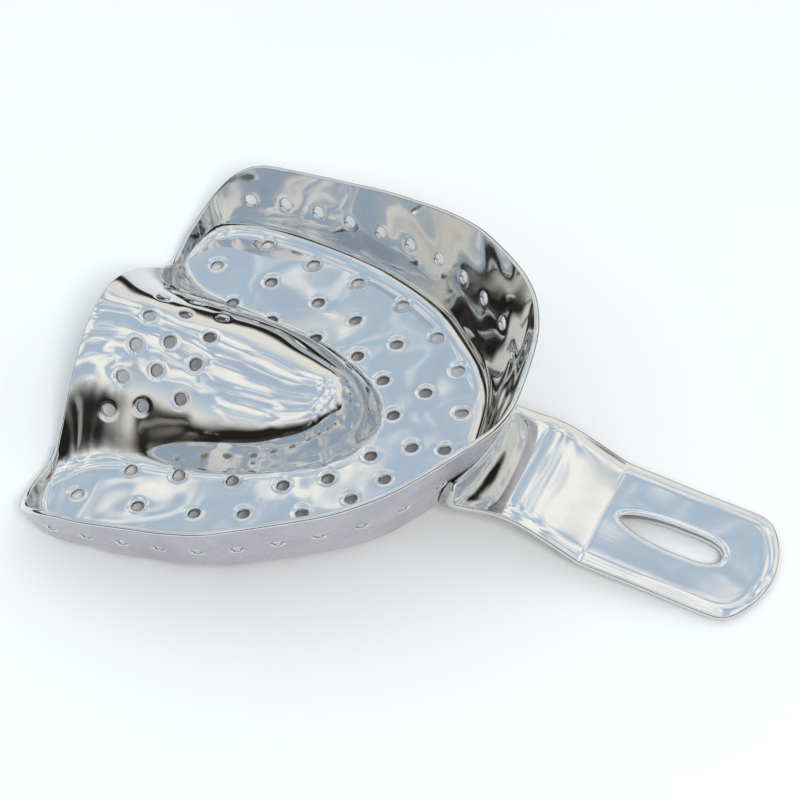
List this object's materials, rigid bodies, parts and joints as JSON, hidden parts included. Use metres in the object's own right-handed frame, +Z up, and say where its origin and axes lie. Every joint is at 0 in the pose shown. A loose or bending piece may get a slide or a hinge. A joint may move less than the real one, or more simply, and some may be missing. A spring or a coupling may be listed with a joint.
{
  "type": "impression tray",
  "caption": "Perforated metal upper dental impression tray: a U-shaped trough round a palatal vault, with a bent strip handle brazed to its front wall.",
  "frame": {"origin": "centre of the bounding box on the table that the tray rests on", "axes": "+X along the midline towards the tip of the handle, +Y to the tray's left limb, +Z up out of the trough"},
  "size_m": [0.1114, 0.0772, 0.0273],
  "materials": {
    "shell_steel": "mirror-polished stainless steel sheet",
    "handle_steel": "polished stainless steel strip with fine rolling marks",
    "braze_metal": "silver braze fillet, wiped and polished over"
  },
  "bodies": {
    "root": {"tray_shell": "shell_steel", "handle": "handle_steel", "braze_left": "braze_metal", "braze_right": "braze_metal"}
  },
  "joints": []
}
